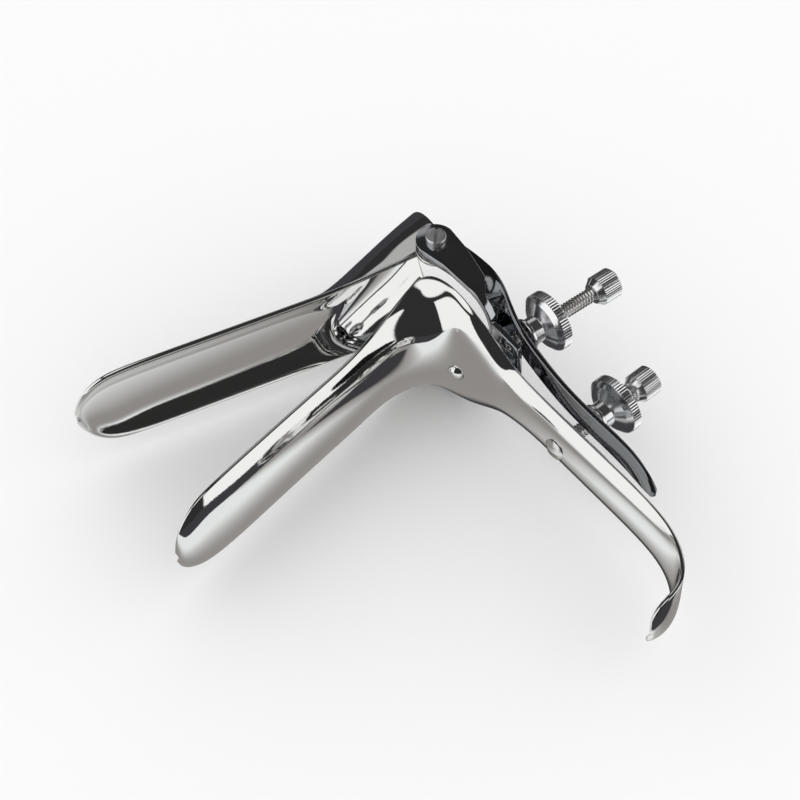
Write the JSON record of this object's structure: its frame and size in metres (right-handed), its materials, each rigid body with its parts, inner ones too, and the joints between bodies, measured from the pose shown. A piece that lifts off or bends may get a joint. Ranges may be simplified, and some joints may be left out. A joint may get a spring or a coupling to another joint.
{
  "type": "bivalve speculum",
  "caption": "Metal bivalve speculum with hinged upper blade, lower blade and handle in one sheet, thumb lever, slotted yoke, and knurled nuts that hold the tilt and the height.",
  "frame": {"origin": "on the blade pivot axis, at the outer face of the right pivot screw head, the face the instrument lies on", "axes": "+Z along the pivot axis from the right side to the left, -X towards the blade tips, +Y up when in use, with the handle towards -Y"},
  "size_m": [0.1577, 0.167, 0.0549],
  "materials": {
    "polished_sheet": "mirror polished",
    "polished_strip": "mirror polished",
    "screw": "bright turned",
    "nut": "bright, knurled"
  },
  "bodies": {
    "handle": {"lower_blade": "polished_sheet", "height_screw": "screw", "height_cap": "nut", "neck_rivet": "polished_sheet"},
    "yoke": {"yoke": "polished_strip", "pivot_screw_left": "screw", "pivot_screw_right": "screw", "tilt_pin": "screw"},
    "upper_blade": {"upper_blade": "polished_sheet", "thumb_lever": "polished_strip"},
    "tilt_screw": {"tilt_screw": "screw", "tilt_cap": "nut"},
    "tilt_washer": {"tilt_washer": "nut"},
    "tilt_nut": {"tilt_nut": "nut"},
    "height_washer": {"height_washer": "nut"},
    "height_nut": {"height_nut": "nut"}
  },
  "joints": [
    {"name": "blade_separation", "type": "slide", "parent": "handle", "child": "yoke", "axis": [0, 1, 0], "range_m": [-0.0065, 0.016]},
    {"name": "blade_tilt", "type": "hinge", "parent": "yoke", "child": "upper_blade", "pos_m": [0, 0, 0.0264], "axis": [0, 0, -1], "range_deg": [-20.5, 0.5]},
    {"name": "tilt_screw_swivel", "type": "hinge", "parent": "yoke", "child": "tilt_screw", "pos_m": [-0.00265, -0.0384, 0.0414], "axis": [0, 0, -1], "range_deg": [-13, 0.6]},
    {"name": "tilt_washer_travel", "type": "slide", "parent": "tilt_screw", "child": "tilt_washer", "axis": [0.9981, -0.061, 0], "range_m": [-0.0005, 0.0142]},
    {"name": "tilt_nut_spin", "type": "hinge", "parent": "tilt_washer", "child": "tilt_nut", "pos_m": [-0.00265, -0.0384, 0.0414], "axis": [0.9981, -0.061, 0], "range_deg": [-130, 4700]},
    {"name": "height_washer_travel", "type": "slide", "parent": "handle", "child": "height_washer", "axis": [1, 0, 0], "range_m": [-0.011, 0.004]},
    {"name": "height_nut_spin", "type": "hinge", "parent": "height_washer", "child": "height_nut", "pos_m": [0, -0.0683, 0.0264], "axis": [1, 0, 0], "range_deg": [-3760, 1380]}
  ],
  "couplings": [
    {"joint": "tilt_screw_swivel", "follows": "blade_tilt", "ratio": 0.62},
    {"joint": "tilt_washer_travel", "follows": "blade_tilt", "m_per_rad": -0.0378},
    {"joint": "tilt_nut_spin", "follows": "blade_tilt", "ratio": -224.5},
    {"joint": "height_nut_spin", "follows": "height_washer_travel", "rad_per_m": 5938.8}
  ]
}
